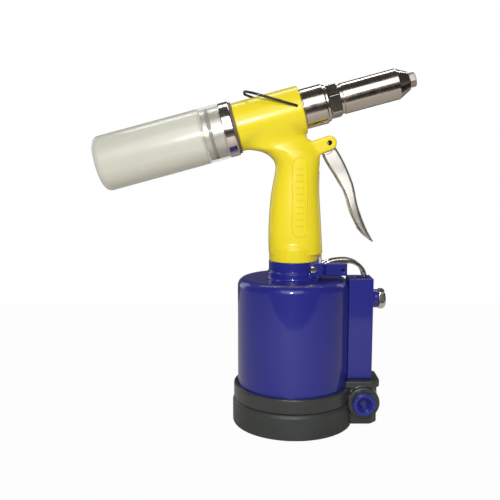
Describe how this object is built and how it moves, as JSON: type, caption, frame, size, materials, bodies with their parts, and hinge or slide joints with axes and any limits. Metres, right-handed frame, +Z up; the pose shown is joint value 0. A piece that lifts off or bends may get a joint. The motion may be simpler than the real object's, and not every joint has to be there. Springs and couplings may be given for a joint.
{
  "type": "pneumatic rivet gun",
  "caption": "Air-over-oil blind rivet gun with upright air cylinder, cast grip, lever trigger, tilted pulling head and clear spent-mandrel bottle.",
  "frame": {"origin": "cylinder axis at the underside of the rubber boot", "axes": "+Z up along the cylinder axis, +X towards the nose, +Y towards the side away from the valve plug"},
  "size_m": [0.2798, 0.108, 0.3123],
  "materials": {
    "yellow_paint": "glossy",
    "blue_paint": "glossy",
    "black_casting": "satin",
    "boot_rubber": "matte",
    "seal_rubber": "matte",
    "nickel_steel": "polished",
    "plain_steel": "machined",
    "alloy": "satin",
    "brass": "machined",
    "bottle_plastic": "translucent",
    "wire_bronze": "glossy"
  },
  "bodies": {
    "frame": {"rubber_boot": "boot_rubber", "base_casting": "black_casting", "floor_bumper": "seal_rubber", "cylinder_gasket": "seal_rubber", "air_cylinder": "blue_paint", "ram_gland": "plain_steel", "ram_seal": "seal_rubber", "grip_frame": "yellow_paint", "head_sleeve": "nickel_steel", "sleeve_seal": "seal_rubber", "sleeve_washer": "nickel_steel", "lock_nut": "nickel_steel", "nose_housing": "nickel_steel", "nosepiece": "nickel_steel", "return_spring": "plain_steel", "rear_gasket": "seal_rubber", "rear_cap": "nickel_steel", "collector_adapter": "alloy", "bottle_oring": "seal_rubber", "trigger_pin": "plain_steel", "rocker_bracket": "blue_paint", "bracket_screws": "nickel_steel", "rocker_pin": "plain_steel", "valve_tube": "blue_paint", "tube_screws": "plain_steel", "tube_seal": "seal_rubber", "stem_gland": "brass", "valve_spring": "plain_steel", "inlet_bushing": "nickel_steel", "valve_plug": "blue_paint", "plug_seal": "seal_rubber"},
    "air_piston_group": {"air_piston": "alloy", "piston_seal": "seal_rubber", "ram_rod": "plain_steel", "piston_nut": "plain_steel"},
    "pull_group": {"oil_piston": "plain_steel", "oil_piston_seal": "seal_rubber", "tail_tube": "brass", "jaw_case": "plain_steel", "jaws": "plain_steel", "jaw_pusher": "plain_steel", "jaw_spring": "plain_steel"},
    "trigger_lever": {"trigger": "alloy"},
    "rod_group": {"trigger_rod": "nickel_steel", "rod_nuts": "plain_steel"},
    "rocker": {"rocker_lever": "nickel_steel"},
    "spool_group": {"valve_spool": "brass", "spool_seals": "seal_rubber"},
    "bottle": {"collector_bottle": "bottle_plastic"},
    "hanger": {"hanger_wire": "wire_bronze"}
  },
  "joints": [
    {"name": "trigger_pull", "type": "hinge", "parent": "frame", "child": "trigger_lever", "pos_m": [0.0299, 0, 0.2492], "axis": [0, 1, 0], "range_deg": [0, 16], "stiffness_Nm_per_rad": 0.6, "springref_deg": -14.32},
    {"name": "rod_lift", "type": "slide", "parent": "frame", "child": "rod_group", "axis": [-0.0847, 0, 0.9964], "range_m": [0, 0.0044]},
    {"name": "rocker_tilt", "type": "hinge", "parent": "frame", "child": "rocker", "pos_m": [0.0431, 0, 0.1388], "axis": [0, 1, 0], "range_deg": [0, 13]},
    {"name": "valve_press", "type": "slide", "parent": "frame", "child": "spool_group", "axis": [0, 0, -1], "range_m": [0, 0.0045], "deforming": ["valve_spring"]},
    {"name": "piston_stroke", "type": "slide", "parent": "frame", "child": "air_piston_group", "axis": [0, 0, 1], "range_m": [0, 0.062]},
    {"name": "pull_stroke", "type": "slide", "parent": "frame", "child": "pull_group", "axis": [-0.9659, 0, -0.2588], "range_m": [0, 0.0175], "deforming": ["return_spring"]},
    {"name": "bottle_pull_off", "type": "slide", "parent": "frame", "child": "bottle", "axis": [-0.9659, 0, -0.2588], "range_m": [0, 0.04]},
    {"name": "hanger_swing", "type": "hinge", "parent": "frame", "child": "hanger", "pos_m": [0.00045, 0, 0.27974], "axis": [0, 1, 0], "range_deg": [-5, 128]}
  ],
  "couplings": [
    {"joint": "rod_lift", "follows": "trigger_pull", "m_per_rad": 0.0152},
    {"joint": "rocker_tilt", "follows": "trigger_pull", "ratio": 0.797},
    {"joint": "valve_press", "follows": "trigger_pull", "m_per_rad": 0.0154},
    {"joint": "pull_stroke", "follows": "piston_stroke", "ratio": 0.26901}
  ]
}
